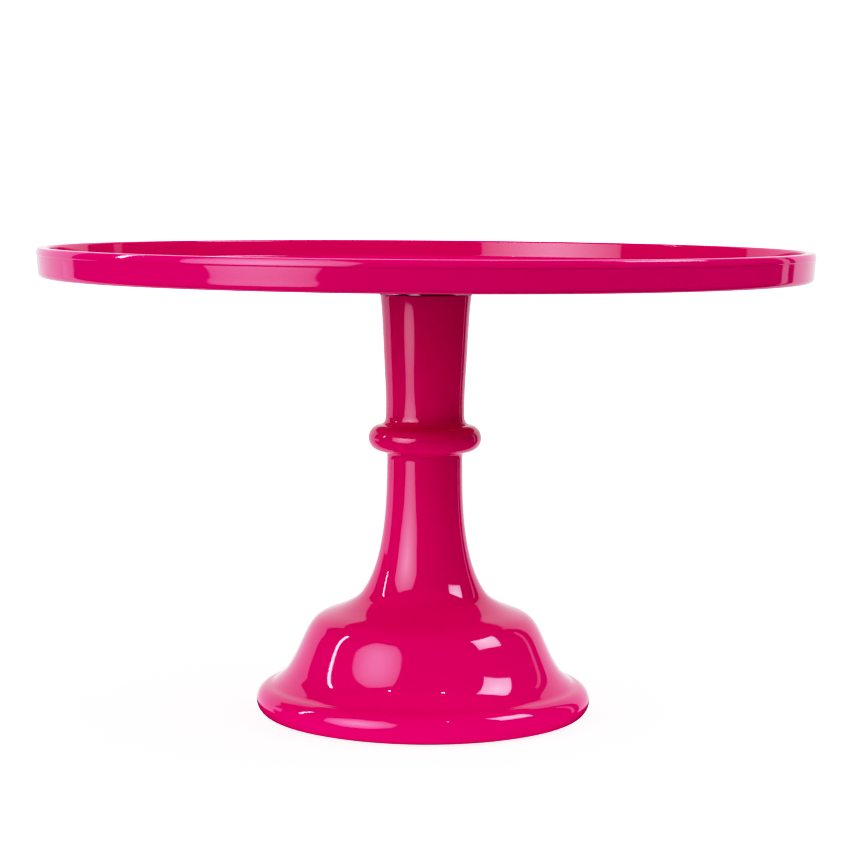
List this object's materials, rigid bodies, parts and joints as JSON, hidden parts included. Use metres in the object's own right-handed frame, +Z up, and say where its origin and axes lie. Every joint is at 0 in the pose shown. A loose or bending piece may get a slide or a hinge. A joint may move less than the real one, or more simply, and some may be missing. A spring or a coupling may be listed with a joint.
{
  "type": "cake turntable",
  "caption": "Pedestal cake turntable: a round plate with a low raised rim turns on a hollow pedestal with a beaded stem and a domed foot.",
  "frame": {"origin": "centre of the foot's underside, on the spin axis, at the bottom of the rubber foot ring", "axes": "+Z up along the spin axis; -Y towards the camera of the picture, +X to the picture's right"},
  "size_m": [0.2984, 0.2984, 0.182],
  "materials": {
    "melamine": "glossy, coloured through",
    "turned_aluminium": "turned",
    "bright_steel": "ground",
    "plated_steel": "zinc plated",
    "brass": "machined",
    "acetal": "natural white",
    "ring_rubber": "matte dark grey"
  },
  "bodies": {
    "base": {"pedestal": "melamine", "foot_ring": "ring_rubber", "bearing_tube": "turned_aluminium", "upper_bush": "acetal", "lower_bush": "acetal", "lower_race": "bright_steel", "tube_washer": "plated_steel", "tube_nut": "plated_steel"},
    "turntable": {"cake_plate": "melamine", "plate_hub": "turned_aluminium", "hub_screw_1": "plated_steel", "hub_screw_2": "plated_steel", "hub_screw_3": "plated_steel", "hub_screw_4": "plated_steel", "insert_1": "brass", "insert_2": "brass", "insert_3": "brass", "insert_4": "brass", "spindle": "bright_steel", "upper_race": "bright_steel", "spindle_washer": "plated_steel", "spindle_nut": "plated_steel"},
    "bearing_cage": {"ball_cage": "brass", "ball_1": "bright_steel", "ball_2": "bright_steel", "ball_3": "bright_steel", "ball_4": "bright_steel", "ball_5": "bright_steel", "ball_6": "bright_steel", "ball_7": "bright_steel", "ball_8": "bright_steel"}
  },
  "joints": [
    {"name": "plate_spin", "type": "hinge", "parent": "base", "child": "turntable", "pos_m": [0, 0, 0.161], "axis": [0, 0, 1], "continuous": true},
    {"name": "cage_spin", "type": "hinge", "parent": "base", "child": "bearing_cage", "pos_m": [0, 0, 0.161], "axis": [0, 0, 1], "continuous": true}
  ],
  "couplings": [
    {"joint": "cage_spin", "follows": "plate_spin", "ratio": 0.5}
  ]
}
